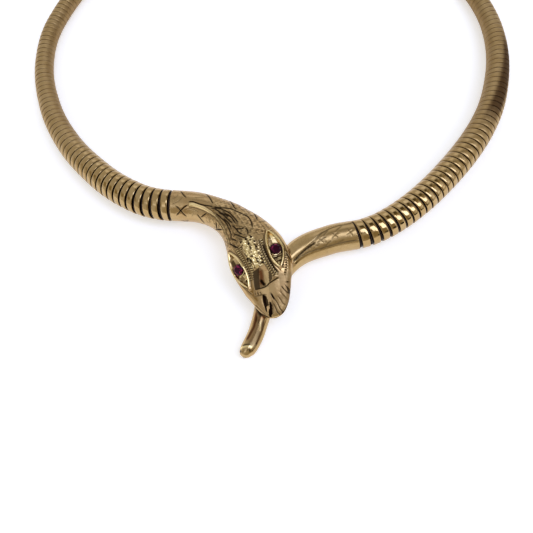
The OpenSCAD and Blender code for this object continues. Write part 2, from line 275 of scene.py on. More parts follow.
def add_mesh(name, points, faces, finish):
    """An object from points in metres."""
    mesh = bpy.data.meshes.new(name)
    mesh.from_pydata(points.tolist(), [], faces)
    mesh.materials.append(finish)
    return add_object(name, mesh)


def mesh_piece(name, points, faces, finish, marks, replaces):
    """A piece of the collar from points in millimetres. marks are values that its finish reads."""
    low, high = (np.array(corner) / MM for corner in cad_box)
    piece = add_mesh(name, np.clip(points, low + BOX_MARGIN, high - BOX_MARGIN) * MM, faces, finish)
    piece.data.shade_smooth()
    for key, values in marks.items():
        layer = piece.data.attributes.new(key, "FLOAT", "POINT")
        layer.data.foreach_set("value", np.asarray(values, np.float32).ravel())
    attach(piece, "root")
    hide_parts(*replaces)
    return piece


def quads(rows, columns, loop_rows=False):
    """Faces of a lattice of points, whose columns close on themselves, and its rows if asked."""
    i = np.arange(rows if loop_rows else rows - 1)[:, None]
    j = np.arange(columns)[None, :]
    a, b, k = i * columns, (i + 1) % rows * columns, (j + 1) % columns
    return np.stack([a + j, b + j, b + k, a + k], -1).reshape(-1, 4)


def end_caps(rows, columns):
    """The faces over a lattice's first and last row."""
    return [list(range(columns)), list(range((rows - 1) * columns, rows * columns))[::-1]]


def normals_of(lattice):
    """Outward normals of a lattice of points."""
    across = np.roll(lattice, -1, axis=1) - np.roll(lattice, 1, axis=1)
    return unit(np.cross(across, np.gradient(lattice, axis=0)))


# Finishes


class Wire:
    """A socket in a finish. Sums on wires and numbers add Math nodes."""

    def __init__(self, finish, socket):
        self.finish, self.socket = finish, socket

    def sum(self, operation, a, b):
        return self.finish.node("Math", {"operation": operation}, Value=a, Value_001=b)

    def __add__(self, other):
        return self.sum("ADD", self, other)

    def __sub__(self, other):
        return self.sum("SUBTRACT", self, other)

    def __rsub__(self, other):
        return self.sum("SUBTRACT", other, self)

    def __mul__(self, other):
        return self.sum("MULTIPLY", self, other)

    __radd__ = __add__
    __rmul__ = __mul__


class Finish:
    """The shader of one finish, or of the light round the collar."""

    def __init__(self, tree):
        self.tree = tree
        self.tree.nodes.clear()

    def node(self, kind, settings=None, output=0, **inputs):
        """Adds a node and gives one of its outputs. stops are a ramp's places and colours."""
        made = self.tree.nodes.new("ShaderNode" + kind)
        for key, value in (settings or {}).items():
            if key == "stops":
                ramp = made.color_ramp
                while len(ramp.elements) < len(value):
                    ramp.elements.new(1.0)
                for element, (place, colour) in zip(ramp.elements, value):
                    element.position, element.color = place, (*colour, 1)
            else:
                setattr(made, key, value)
        for key, value in inputs.items():
            by_name = {s.name.replace(" ", "_"): s for s in reversed(made.inputs) if s.enabled}
            socket = (by_name | {s.identifier: s for s in made.inputs})[key]
            if isinstance(value, Wire):
                self.tree.links.new(value.socket, socket)
            else:
                socket.default_value = value
        return Wire(self, made.outputs[output]) if made.outputs else None

    def surface(self, kind, **inputs):
        """Adds the shader that the material shows."""
        self.node("OutputMaterial", Surface=self.node(kind, **inputs))

    def blend(self, factor, a, b):
        """One colour over another."""
        a, b = ((*c, 1) if isinstance(c, tuple) else c for c in (a, b))
        return self.node("Mix", {"data_type": "RGBA"}, output=2, Factor_Float=factor, A_Color=a, B_Color=b)

    def mark(self, name):
        return self.node("Attribute", {"attribute_name": name}, output=2)

    def grain(self, scale, detail=2.0, stretch=(1, 1, 1)):
        """Noise in the collar's own space, from 0 to 1."""
        place = self.node("TexCoord", output=3)
        if stretch != (1, 1, 1):
            place = self.node("Mapping", Vector=place, Scale=stretch)
        return self.node("TexNoise", Vector=place, Scale=scale, Detail=detail)

    def band(self, value, low, high):
        """0 below low, 1 above high."""
        smooth = {"interpolation_type": "SMOOTHSTEP"}
        return self.node("MapRange", smooth, Value=value, From_Min=low, From_Max=high)


def material(name):
    made = bpy.data.materials.new(name)
    made.use_nodes = True
    return made, Finish(made.node_tree)


GOLD = (0.50, 0.335, 0.142)
GOLD_PALE = (0.56, 0.395, 0.19)
GOLD_PINK = (0.50, 0.325, 0.145)
GOLD_WORN = (0.30, 0.185, 0.070)
# The colour of painted highlights and glints
GOLD_PAINTED_HIGHLIGHT = (1.0, 0.79, 0.39)
# Colours of painted shade: brown for the wound strip, near-black for the head and the tail
PAINTED_SHADE_BROWN = (0.060, 0.020, 0.005)
PAINTED_SHADE_DARK = (0.010, 0.0045, 0.002)
# The colour of painted warm reflections
REFLECTION_RED = (0.21, 0.055, 0.014)
# Scales of the gold's noises: clouds of tone, handling, smears, pits, the matt ground and scratches both ways
CLOUDS, HANDLING, SMEARS, PITTING, GROUND, SCRATCHES = 260, 900, 1400, 7000, 9000, (5200, 4700)
# How near together the lines lie that drawing has left along the wound strip, and how short they are
DRAWN_ACROSS, DRAWN_ALONG = 4.2, 0.45


def polished_gold(name, light, deep, shine, shade_colour=PAINTED_SHADE_BROWN, scratch=1.0, drawn_lines=0.0, matt=0.2):
    """Nine carat gold. Its marks are the painted shade, shadows and dark reflections that darken it to its
    shade colour; satin, where it is matt; bright, its painted highlights and glints; and red, its painted
    warm reflections. lane and turn are places across and along a wound strip. shine is its roughness, and
    matt how much rougher satin is."""
    made, f = material(name)
    cut, satin, bright = f.mark("cut"), f.mark("satin"), f.mark("bright")
    cloud = f.band(f.grain(CLOUDS, 3), 0.35, 0.68)
    colour = f.blend(cloud * 0.7, deep, light)
    handled = f.band(f.grain(HANDLING, 4), 0.46, 0.75)
    colour = f.blend(handled * 0.22, colour, GOLD_WORN)
    colour = f.blend(satin * 0.2, colour, GOLD_WORN)
    colour = f.blend(bright, colour, GOLD_PAINTED_HIGHLIGHT)
    colour = f.blend(f.mark("red"), colour, REFLECTION_RED)
    colour = f.blend(cut, colour, shade_colour)
    smear = f.band(f.grain(SMEARS, 5), 0.3, 0.8)
    rough = shine + smear * 0.06 + satin * matt + cut * 0.3 + handled * 0.03
    across, along = SCRATCHES
    scratches = f.grain(across, 3, (0.16, 1, 1)) + f.grain(along, 3, (1, 0.16, 1))
    pits = f.band(f.grain(PITTING, 1), 0.62, 0.78)
    place = f.node("CombineXYZ", X=f.mark("lane") * DRAWN_ACROSS, Y=f.mark("turn") * DRAWN_ALONG)
    drawn = f.node("TexNoise", Vector=place, Scale=1.0, Detail=3.0)
    relief = scratches * (0.35 * scratch) - pits * 0.25 + satin * f.grain(GROUND, 2) * 1.2
    bump = f.node("Bump", Strength=0.3, Distance=0.00002, Height=relief + drawn * drawn_lines)
    f.surface("BsdfPrincipled", Base_Color=colour, Metallic=1.0, Roughness=rough, Normal=bump)
    return made


# The colours of the stones' facets, from the darkest tone to the brightest
STONE_TONES = [
    (0, (0.004, 0.001, 0.003)), (0.45, (0.036, 0.003, 0.011)), (0.8, (0.11, 0.006, 0.030)),
    (1, (0.36, 0.02, 0.085)),
]


def stone_finish():
    """A dark purple-red stone, whose facets differ as their insides catch the light or not."""
    made, f = material("purple_red_stone")
    colour = f.node("ValToRGB", {"stops": STONE_TONES}, Fac=f.mark("facet"))
    veil = f.band(f.grain(2600, 3), 0.4, 0.7)
    colour = f.blend(veil * 0.3, colour, (0.03, 0.002, 0.014))
    f.surface(
        "BsdfPrincipled", Base_Color=colour, Roughness=0.06 + veil * 0.05, IOR=1.55,
        Specular_IOR_Level=0.25, Specular_Tint=(0.9, 0.42, 0.68, 1),
    )
    return made


def inner_strip_finish():
    """The inner strip, painted dark as the shade in the gaps between the turns."""
    made, f = material("inner_strip_gold")
    dust = f.band(f.grain(1500, 4), 0.35, 0.7)
    colour = f.blend(dust, (0.030, 0.012, 0.004), (0.012, 0.006, 0.003))
    f.surface("BsdfPrincipled", Base_Color=colour, Metallic=0.5, Roughness=0.45 + dust * 0.25)
    return made


band_gold = polished_gold("band_gold", GOLD_PALE, GOLD, 0.045, scratch=0.5, drawn_lines=1.6, matt=0.36)
head_gold = polished_gold("head_gold", GOLD_PALE, GOLD_PINK, 0.12, PAINTED_SHADE_DARK)
tail_gold = polished_gold("tail_gold", GOLD_PALE, GOLD, 0.1, PAINTED_SHADE_DARK, scratch=0.7)
inner_gold = inner_strip_finish()
stone_red = stone_finish()

# The tube

# Points round the outer strip's section, the inner strip's ridge and the inner strip
STRIP_SIDES, RIDGE_SIDES, CORE_SIDES = 44, 36, 28
# Across the outer strip: place from edge to edge, depth below the crest, and how dark it is painted as
# the shade down its walls into the gaps
STRIP_PROFILE = [
    (-1, 0.75, 1), (-1, 0.2, 0.7), (-0.96, 0.06, 0.25), (-0.87, 0.014, 0), (-0.4, 0.002, 0),
    (0.4, 0.002, 0), (0.87, 0.014, 0), (0.96, 0.06, 0.25), (1, 0.2, 0.7), (1, 0.75, 1),
]
# How far the crest stays inside the solids, and the least width that a strip's end thins to
CREST_INSET, LEAST_WIDTH = 0.02, 0.12
# How unevenly the strip is wound: tilt and lift in millimetres, and width as a share
UNEVEN = (0.010, 0.008, 0.012)
# The tube's polished length beside each sleeve, and over what length it then grows matt at either end
POLISHED, MATT_HEADWARD, MATT_TAILWARD = 14, 34, 40
# The painted dark reflection on the tube's outer side: distance from the tail's sleeve and angle round
# the tube, half its length and width, how far it turns in each millimetre, and how dark it is
PATCH_PLACE, PATCH_ANGLE, PATCH_LENGTH, PATCH_WIDTH, PATCH_TURN, PATCH_DARK = 66, 56.4, 24, 50, 1.3, 0.84


def wind_strip():
    """The outer strip, wound from sleeve to sleeve as a right-handed helix."""
    place, depth, dark = np.array(STRIP_PROFILE, float).T
    n = np.arange(-STRIP_SIDES // 2, TURNS * STRIP_SIDES + STRIP_SIDES // 2 + 1) / STRIP_SIDES
    theta = 2 * np.pi * (n - 0.5) + np.pi / 2
    s = turn_place(np.clip(n, 0, TURNS)) + np.where(n < 0, n, 0) * pitch(0.0)
    s = s + np.where(n > TURNS, n - TURNS, 0) * pitch(collar.length)
    s = s + FIRST_LEAN * np.cos(theta) * np.exp(-np.abs(s) / LEAN_LENGTH)
    on_tube = np.clip(s, 0, collar.length)
    rng = np.random.default_rng(7)
    knots = np.arange(-1, TURNS + 2, 0.5)
    tilt, lift, wider = (np.interp(n, knots, rng.normal(0, much, len(knots))) for much in UNEVEN)
    width = (pitch(on_tube) - seam_gap(on_tube) * (1 + OUTER_GAP * np.cos(theta))) * (1 + wider)
    across = s[:, None] + width[:, None] / 2 * place
    start = seam_gap(0.0) / 2 - HEAD_LEAN * np.cos(theta)
    end = collar.length - seam_gap(collar.length) / 2 + tail_lean(theta)
    across = np.clip(across, start[:, None], end[:, None])
    kept = across[:, -1] - across[:, 0] > LEAST_WIDTH
    across, theta, s, tilt, lift, n = (values[kept] for values in (across, theta, on_tube, tilt, lift, n))
    centre, along, side = collar.frame(s, tube_z(s))
    along = unit(along + (tube_z(s + 0.5) - tube_z(s - 0.5))[:, None] * UP)
    out = outward(side, theta, np.cross(along, side))
    radius = (tube_r(s) + lift)[:, None] - CREST_INSET - depth + tilt[:, None] * place
    steps = (across - s[:, None])[..., None]
    points = centre[:, None] + along[:, None] * steps + out[:, None] * radius[..., None]
    rows, columns = points.shape[:2]
    faces = quads(rows, columns).tolist() + [cap[::-1] for cap in end_caps(rows, columns)]
    # Polished beside the sleeves and matt from wear behind the neck. Painted shade on the side that faces
    # into the ring, darker behind the neck, and the painted dark reflection on the outer side
    worn = between(s, POLISHED, collar.length - POLISHED, MATT_HEADWARD, MATT_TAILWARD)
    shade_and_reflection = (0.16 + 0.16 * worn) * ease((-np.cos(theta) - 0.3) / 0.6)
    ahead = collar.length - s - PATCH_PLACE
    angle = np.mod(np.degrees(theta) + 90, 360) - 90 - PATCH_ANGLE + PATCH_TURN * ahead
    patch = ease(1.6 * hump(ahead, PATCH_LENGTH)) * ease(1.5 * hump(angle, PATCH_WIDTH))
    shade_and_reflection = np.maximum(shade_and_reflection, PATCH_DARK * patch)
    marks = {
        "cut": np.maximum(dark, shade_and_reflection[:, None]), "satin": worn[:, None], "lane": place, "turn": n[:, None],
    }
    marks = {key: np.broadcast_to(values, (rows, columns)) for key, values in marks.items()}
    points = points.reshape(-1, 3)
    mesh_piece("wound_strip", points, faces, band_gold, marks, ["gas_pipe_bands"])


def wound_ridge():
    """The inner strip's raised line, which stands in each gap between turns and at the two sleeves."""
    shape = np.array([
        [-1, CORE_DEPTH], [-1, SHOULDER_DEPTH], [-0.5, RIDGE_DEPTH],
        [0.5, RIDGE_DEPTH], [1, SHOULDER_DEPTH], [1, CORE_DEPTH],
    ])

    def line(s, theta, ahead):
        gap = np.clip(seam_gap(s) / 2 - 0.03, 0.03, None)
        centre, along, side = collar.frame(s, tube_z(s))
        radius = tube_r(s)[:, None] - shape[:, 1]
        steps = ahead[:, None] + gap[:, None] * shape[:, 0]
        out = outward(side, theta)[:, None] * radius[..., None]
        return (centre[:, None] + along[:, None] * steps[..., None] + out).reshape(-1, 3)

    n = np.arange(-RIDGE_SIDES // 4, (TURNS - 1) * RIDGE_SIDES + RIDGE_SIDES // 4) / RIDGE_SIDES
    ring = np.linspace(0, 2 * np.pi, RIDGE_SIDES, endpoint=False)
    points, faces, count = [], [], 0
    for s, theta, ahead, closed in (
        (turn_place(n + 0.5), 2 * np.pi * (n - 0.5) + np.pi / 2, n * 0, False),
        (ring * 0, ring, -HEAD_LEAN * np.cos(ring), True),
        (ring * 0 + collar.length, ring, tail_lean(ring), True),
    ):
        points.append(line(s, theta, ahead))
        faces.append(quads(len(s), len(shape), loop_rows=closed) + count)
        count += len(points[-1])
    return np.vstack(points), np.vstack(faces)


def wind_inner_strip():
    """The inner strip, a tube whose low wound ridge fills each gap from below."""
    step, reach = 0.9, np.array([SOCKET_DEPTH - CORE_GAP])
    places = np.linspace(0, collar.length, int(collar.length / step))
    theta = np.linspace(0, 2 * np.pi, CORE_SIDES, endpoint=False)

    def tube(inset):
        rings = []
        for path, s, z, at, way in (
            (head_path, reach, NECK_Z, np.array([0.0]), -1), (collar, places, tube_z(places), places, 1),
            (tail_path, reach, TAIL_FORM[0][1], np.array([collar.length]), 1),
        ):
            centre, _, side = path.frame(s, z)
            out = outward(side[:, None] * way, theta[None])
            rings.append(centre[:, None] + out * (tube_r(at)[:, None, None] - inset))
        return np.concatenate(rings)

    points = np.concatenate([tube(CORE_DEPTH), tube(CORE_DEPTH + CORE_WALL)[::-1]])
    faces = quads(len(points), CORE_SIDES, loop_rows=True)[:, ::-1]
    ridge, ridge_faces = wound_ridge()
    faces = np.vstack([faces, ridge_faces + points.size // 3]).tolist()
    points = np.vstack([points.reshape(-1, 3), ridge])
    mesh_piece("inner_strip", points, faces, inner_gold, {}, ["gas_pipe_core"])


# The head


def power(v, e):
    return np.sign(v) * np.abs(v) ** e


def plain_head(s, a):
    """A point of the head before its engraving, at distance s and angle a in degrees."""
    s, a = np.broadcast_arrays(np.asarray(s, float), np.radians(np.asarray(a, float)))
    centre, _, side = head_path.frame(s, form(HEAD_FORM, 1, s))
    upper = np.sin(a) > 0
    e = 2 / np.where(upper, form(HEAD_FORM, 6, s), 2)
    roll = np.radians(form(HEAD_FORM, 5, s))
    across = form(HEAD_FORM, 2, s) * power(np.cos(a), e)
    high = np.where(upper, form(HEAD_FORM, 3, s), form(HEAD_FORM, 4, s)) * power(np.sin(a), e)
    return (
        centre + side * (across * np.cos(roll) - high * np.sin(roll))[..., None]
        + UP * (high * np.cos(roll) + across * np.sin(roll))[..., None]
    )


def eye_frame(s, a, turn):
    """An eye's centre, and the ways along its rim, across it and out of the cheek."""
    along = unit(plain_head(s + 0.5, a) - plain_head(s - 0.5, a))
    out = unit(np.cross(along, plain_head(s, a - 2) - plain_head(s, a + 2)))
    across = np.cross(out, along)
    c, t = cos_sin(turn)
    return plain_head(s, a), along * c - across * t, across * c + along * t, out


eyes = [eye_frame(*eye) for eye in EYES]


def tail_roof(points):
    """The lowest height that leaves room for the tail and its catch, over each point."""
    s = np.arange(6, TAIL_LENGTH, 0.5)
    catch = between(s, CATCH_SPAN[0] - 2, CATCH_SPAN[1] + 2, 1.5)
    reach = form(TAIL_FORM, 2, s) + TAIL_GAP + CATCH_ROOM * catch
    apart = np.linalg.norm(points[:, None, :2] - tail_path.on(s)[None], axis=2)
    roof = form(TAIL_FORM, 1, s)[None] + np.sqrt(np.clip(reach[None] ** 2 - apart**2, 0, None))
    return np.where(apart < reach[None], roof, 0).max(1)


def smooth_line(knots, place, step=0.18):
    """Points on a surface along a smooth line through knots of distance and angle."""
    knots = np.array(knots, float)
    ends = np.vstack([2 * knots[0] - knots[1], knots, 2 * knots[-1] - knots[-2]])
    line = []
    for a, b, c, d in zip(ends[:-3], ends[1:-2], ends[2:-1], ends[3:]):
        t = np.linspace(0, 1, 9)[:-1, None]
        line.append(cubic(b, (c - a) / 2, c, (d - b) / 2, t))
    line = np.vstack([*line, knots[-1:]])
    points = place(line[:, 0], line[:, 1])
    length = np.r_[0, np.cumsum(np.linalg.norm(np.diff(points, axis=0), axis=1))]
    even = np.linspace(0, length[-1], max(3, int(length[-1] / step)))
    return np.stack([np.interp(even, length, points[:, k]) for k in range(3)], -1)


class Relief:
    """The engraving of one piece: how far each point is raised, how dark its painted shade is, how matt it
    is, how bright its painted highlight is and how red its painted reflection is.
    """

    def __init__(self, points, normals, place):
        self.points, self.normals, self.place = points, normals, place
        for key in ("height", "cut", "satin", "bright", "red"):
            setattr(self, key, np.zeros(len(points)))

    def marks(self, socket):
        """The marks for the finish, after as many points of the socket behind the piece, painted fully dark
        as the shade inside it.
        """
        first = {"cut": 1.0, "satin": 0.0, "bright": 0.0, "red": 0.0}
        values = {key: np.clip(getattr(self, key), 0, 1) for key in first}
        return {key: np.r_[np.full(socket, first[key]), values[key]] for key in first}

    def raised(self, from_tip, soft):
        """The points after the engraving, which ends softly at the piece's tip."""
        return self.points + self.normals * (self.height * ease(from_tip / soft))[:, None]

    def add(self, key, value, index=slice(None)):
        """Brings a mark up to a value where it is lower."""
        mark = getattr(self, key)
        mark[index] = np.maximum(mark[index], value)

    def near(self, knots, reach):
        """Points within reach of a line: index, distance, signed side, place along it, and its length."""
        line = smooth_line(knots, self.place)
        low, high = line.min(0) - reach, line.max(0) + reach
        index = np.flatnonzero(((self.points > low) & (self.points < high)).all(1))
        p = self.points[index]
        best = np.full(len(p), 1e9)
        side, place = np.zeros(len(p)), np.zeros(len(p))
        run = 0.0
        for a, b in zip(line[:-1], line[1:]):
            ab = b - a
            length = np.linalg.norm(ab)
            t = np.clip((p - a) @ ab / length**2, 0, 1)
            off = p - a - t[:, None] * ab
            d = np.linalg.norm(off, axis=1)
            closer = d < best
            best[closer] = d[closer]
            place[closer] = run + t[closer] * length
            turned = np.cross(ab / length, self.normals[index[closer]])
            side[closer] = (off[closer] * turned).sum(1)
            run += length
        inside = best < reach
        return index[inside], best[inside], side[inside], place[inside], run

    def paint_line(self, key, knots, width, value):
        """A soft painted mark along a line, with no depth: painted shade, a painted reflection or a painted
        highlight, as its key says.
        """
        index, d, _, place, run = self.near(knots, width)
        ends = ease(np.minimum(place, run - place) / 0.4 + 0.4)
        self.add(key, value * hump(d, width) * ends, index)

    def groove(self, knots, width, depth, dark, fade=0.5):
        """A graver's stroke with straight flanks, shallower over a short length at its ends, and painted dark
        as the shade in it.
        """
        index, d, _, place, run = self.near(knots, width)
        swell = 0.25 + 0.75 * ease(np.minimum(place, run - place) / fade)
        section = np.clip(1 - d / (width * (0.6 + 0.4 * swell)), 0, 1)
        self.height[index] -= depth * section * swell
        self.add("cut", dark * ease(section * 2) * swell**0.5, index)
        self.bright[index] *= 1 - ease(section * 2)

    def grooves(self, lines, *stroke):
        for knots in lines:
            self.groove(knots, *stroke)

    def ridge(self, knots, width, height, bright, thins):
        """A raised polished line with a painted highlight on its crest and painted shade down each side.
        Its width thins to that share.
        """
        index, d, _, place, run = self.near(knots, width + 0.35)
        along = place / run
        own = width * (1 + (thins - 1) * ease(along * 1.6))
        swell = ease(np.minimum(place / 0.4, (run - place) / 2.0))
        crest = hump(d, own) * swell
        beside = hump(d - own - 0.1, 0.2) * swell
        self.height[index] += height * crest * (0.5 + own / width / 2) - 0.08 * beside
        self.satin[index] *= 1 - crest
        self.cut[index] *= 1 - crest
        self.add("cut", beside * 0.75, index)
        self.add("bright", bright * crest * (1 - 0.6 * ease(along * 1.6)), index)

    def milling(self, knots, spacing, rows, depth, bright, slant=0.0, ground=0.0):
        """Rows of short cuts across a line, with painted shade in their hollows and painted glints on their
        crests.
        rows holds each row's place beside the line and half length. ground is the painted shade between them."""
        reach = max(abs(offset) + half for offset, half in rows) + 0.1
        index, _, side, place, run = self.near(knots, reach)
        fade = ease(place / 0.5) * ease((run - place) / 0.5)
        self.add("cut", ground * fade, index)
        for row, (offset, half) in enumerate(rows):
            wave = 0.5 + 0.5 * np.cos(2 * np.pi * (place + slant * (side - offset)) / spacing + row * 2.2)
            inside = hump(side - offset, half) ** 0.5 * fade
            self.height[index] += inside * (0.3 * depth - depth * wave)
            self.cut[index] *= 1 - inside
            self.satin[index] *= 1 - inside
            self.add("cut", ease(wave * 2.6 - 0.95) * inside, index)
            self.add("bright", bright * ease(1.3 - 3.2 * wave) * inside, index)

    def facets(self, corners, faces, s, a):
        """Flat cuts between corners of distance, angle and height.
        Each face ends in how dark and how bright it is painted, as the dark and light it reflects."""
        corners = np.array(corners, float)
        for *ring, dark, bright in faces:
            for second, third in zip(ring[1:], ring[2:]):
                three = corners[[ring[0], second, third]]
                (s0, a0, h0), (s1, a1, h1), (s2, a2, h2) = three
                (s_low, a_low, _), (s_high, a_high, _) = three.min(0), three.max(0)
                index = np.flatnonzero((s >= s_low) & (s <= s_high) & (a >= a_low) & (a <= a_high))
                area = (s1 - s0) * (a2 - a0) - (s2 - s0) * (a1 - a0)
                p = ((s[index] - s0) * (a2 - a0) - (s2 - s0) * (a[index] - a0)) / area
                q = ((s1 - s0) * (a[index] - a0) - (s[index] - s0) * (a1 - a0)) / area
                inside = (p >= 0) & (q >= 0) & (p + q <= 1)
                index, p, q = index[inside], p[inside], q[inside]
                self.height[index] = h0 + p * (h1 - h0) + q * (h2 - h0)
                self.cut[index], self.bright[index], self.satin[index] = dark, bright, 0


# Engraved lines of the head as knots of distance and angle: behind the eyes
CROSSES = [
    [(2, 156), (3.1, 138), (4, 124), (5, 113)], [(2, 120), (3.1, 135), (3.8, 147), (4.7, 159)],
    [(8.2, 140), (9.2, 154), (10, 166), (10.7, 175)], [(10.9, 124), (10.2, 136), (9.4, 149)],
    [(14.6, 134), (15.2, 145), (15.9, 158)], [(15, 169), (16.7, 151), (17.8, 138)],
    [(2.8, 186), (5.2, 204)], [(5, 184), (3, 206)], [(9.2, 188), (11.6, 206)], [(11.6, 186), (9.4, 208)],
]
DASHES = [
    [(2.4, 51), (3.4, 73), (4.3, 87)], [(8.2, 42), (10, 65), (11.4, 83)],
    [(13.9, 28), (15.5, 49), (17.1, 60)], [(20.2, 25), (21.3, 34), (22.5, 43)],
]
FAINT_DASHES = [
    [(5.2, 60), (3, 84)], [(5.8, 38), (8, 60)], [(8.6, 70), (6, 84)], [(11.4, 44), (8.8, 62)],
    [(12.8, 60), (14.6, 44)], [(17.2, 46), (15.6, 64)], [(18.2, 28), (20, 44)], [(21, 42), (19, 56)],
    [(2, 10), (4.6, 34)], [(4.8, 8), (2.2, 36)], [(7.8, 6), (10.2, 30)], [(10.4, 4), (8, 32)],
    [(13.6, 2), (16, 26)], [(16.2, 0), (13.8, 28)], [(19.2, -4), (21.6, 20)], [(21.8, -4), (19.4, 20)],
    [(1, 116), (2.6, 100), (3.4, 84)], [(0.6, 98), (1.8, 86), (2, 72)],
    [(4.2, 133), (5.3, 128), (6.8, 127), (8.6, 131)], [(5.6, 92), (8.2, 88), (10.4, 86)],
    [(11.6, 128), (13, 134), (14.2, 142)], [(7, 140), (6.4, 156)],
]
LEAVES = [
    [(5, 102), (6.2, 98.5), (7.4, 100.5), (8.4, 101.5), (9.6, 100), (10.9, 96), (11.9, 93)],
    [(11.9, 93), (13.4, 86), (15, 76), (16.1, 68), (17.6, 63), (19.1, 58), (20.6, 55), (22.3, 60),
     (23.8, 68)],
    [(11.4, 101), (12.1, 98), (13.6, 89), (15.3, 85), (16.9, 83), (18.3, 84), (19.5, 85), (20.4, 87)],
]
FEATHERS = [
    [(12.4, 99), (13.4, 98), (14.7, 99), (16.3, 95), (17.3, 92)],
    [(13.9, 103), (15.8, 100), (17.3, 101), (19.4, 98)],
    [(13.4, 110), (15.7, 112), (17.4, 112), (19.3, 115)],
    [(18.7, 116), (20.1, 117), (21.7, 120), (22.6, 127)], [(21, 103), (21.6, 98), (22.4, 89), (22.5, 81)],
    [(22.4, 126), (23.4, 118), (24.6, 111)], [(19.7, 104), (20.8, 101), (22.5, 99), (24, 94)],
    [(22, 113), (23.1, 105), (24.5, 97), (25.4, 91)], [(22.8, 82), (23.8, 80), (24.9, 85)],
    [(22.8, 138), (24.5, 127), (26.2, 117)], [(16.2, 108), (18, 107), (20.2, 109)],
    [(15.2, 94), (17.2, 89.5), (19, 91), (20.2, 93)], [(24.6, 124), (25.8, 118), (26.6, 112)],
]
CREST = [
    (5.2, 111), (6.4, 109), (7.8, 109.5), (9.2, 111), (10.8, 113.5), (12.4, 116), (14.5, 121), (16.7, 126),
    (18.5, 130), (20.3, 134), (22.7, 134.5), (24.6, 137),
]
PITS = [(20.4, 89), (22.4, 85.5), (25.5, 92), (26.2, 88), (24.3, 76)]
# Between the eyes, left to right
LEFT_MILLING = [
    (26.2, 115), (27.7, 112), (28.7, 110), (29.8, 109), (30.9, 109), (32.4, 109.5), (33.6, 110),
    (34.6, 110.5), (35.8, 111),
]
RIGHT_BEADS = [
    (27.2, 71), (28.8, 73.5), (30.1, 75.5), (31.3, 76.5), (32.5, 76), (33.8, 74), (34.9, 71), (36.4, 66),
]
RIGHT_RAIL = [(28.8, 69.5), (30.2, 71), (31.5, 71.8), (32.6, 71.2), (33.6, 69.2), (34.6, 65.6), (35.7, 59)]
CHEEK_DOTS = [
    [(31.3, 33), (32.2, 30.5), (33.2, 31.5), (34.3, 33.5), (35.5, 37), (36.8, 40)],
    [(33.3, 44.5), (34.2, 44), (35.1, 44)],
]
CHEEK_CUT = [(32.1, 27), (32.4, 24), (33, 18), (33.7, 12)]
# The faceted patch between the eyes, bright from its painted highlights: corners of distance, angle and
# height
PATCH = [
    (25.5, 103, 0), (25.4, 98.5, 0.3), (25.5, 94, 0.08), (25.5, 88, 0.27), (26, 82, 0.03), (26.9, 74, 0),
    (28.4, 109, 0), (28.1, 102, 0.24), (28.3, 96, 0.57), (28.7, 90.5, 0.22), (28.4, 84, 0.41),
    (29.2, 77.5, 0.08), (30.1, 108, 0), (30, 102.5, 0.19), (30.3, 98, 0.46), (30.7, 91, 0.59),
    (31.4, 86.5, 0.27), (30.9, 80, 0.05), (31.5, 102, 0.03), (31.7, 97, 0.41), (31.9, 91.5, 0.16),
    (33.2, 97.5, 0.03), (33.2, 90.5, 0.08), (32.8, 86, 0),
]
# Its faces: corners, then how dark and how bright each is painted, as the dark and light it reflects
PATCH_FACES = [
    (0, 1, 7, 0.1, 0.3), (0, 7, 6, 0.35, 0), (1, 2, 8, 0, 0.95), (1, 8, 7, 0, 0.75), (2, 3, 9, 0.4, 0),
    (2, 9, 8, 0.12, 0.2), (3, 4, 10, 0.12, 0.1), (3, 10, 9, 0, 0.45), (4, 5, 11, 0.3, 0),
    (4, 11, 10, 0.1, 0.15), (6, 7, 13, 12, 0.3, 0.1), (7, 8, 14, 0, 0.9), (7, 14, 13, 0, 0.5),
    (8, 9, 15, 0, 0.35), (8, 15, 14, 0.25, 0.1), (9, 10, 16, 15, 0, 1), (10, 11, 17, 0.25, 0),
    (10, 17, 16, 0.1, 0.3), (12, 13, 18, 0.5, 0), (13, 14, 19, 18, 0.85, 0), (14, 15, 20, 19, 0, 0.85),
    (15, 16, 23, 20, 0.55, 0), (18, 19, 21, 0.3, 0.1), (19, 20, 22, 21, 0, 0.7), (20, 23, 22, 0.45, 0),
]
# The hollow mirror cuts in front of it, painted dark and bright as their reflections, then the snout's
# lines with their width and how dark their painted shade is
MIRROR = [
    (33.8, 104, -0.05), (33.4, 91.5, -0.22), (34.2, 88, -0.12), (34.9, 79, -0.04), (37.5, 116, -0.05),
    (37.7, 103, -0.3), (37.8, 91.5, -0.16), (37.5, 83.5, -0.05), (35.3, 74, -0.02), (36.7, 74.5, -0.02),
]
MIRROR_FACES = [(0, 1, 5, 4, 0.86, 0), (1, 2, 6, 5, 0.3, 0), (2, 3, 7, 6, 0.1, 0.15), (3, 8, 9, 7, 0.8, 0)]
SNOUT_LINES = [
    ([(37.6, 118), (37.8, 105), (37.9, 92), (37.5, 84), (37.2, 73), (36.8, 58)], 0.2, 0.95),
    ([(38, 120), (38.9, 124)], 0.2, 0.8), ([(38.3, 113), (39.3, 116)], 0.24, 0.85),
    ([(38.5, 107), (39.4, 107)], 0.22, 0.8), ([(39, 130), (39.3, 115), (39.4, 103), (39.6, 95)], 0.18, 0.6),
    ([(39.6, 86.5), (40.5, 84), (41.3, 80.5)], 0.3, 1),
    ([(32.8, 157), (35.3, 151), (36.7, 143), (37.7, 136), (38.4, 131)], 0.2, 0.55),
    ([(40.7, 154), (42.1, 148), (43.4, 147), (43.9, 151)], 0.24, 0.5), ([(38.2, 38), (38.2, 18)], 0.22, 1),
    ([(26.6, 116), (26.9, 108), (27.3, 104)], 0.2, 0.7), ([(35.9, 97), (36.9, 94), (37.7, 91)], 0.5, 1),
]
MOUTH = [(27.1, -12), (30.6, -10), (34.6, -6), (38.2, -3), (41.3, 0), (43.6, 8), (44.4, 24)]
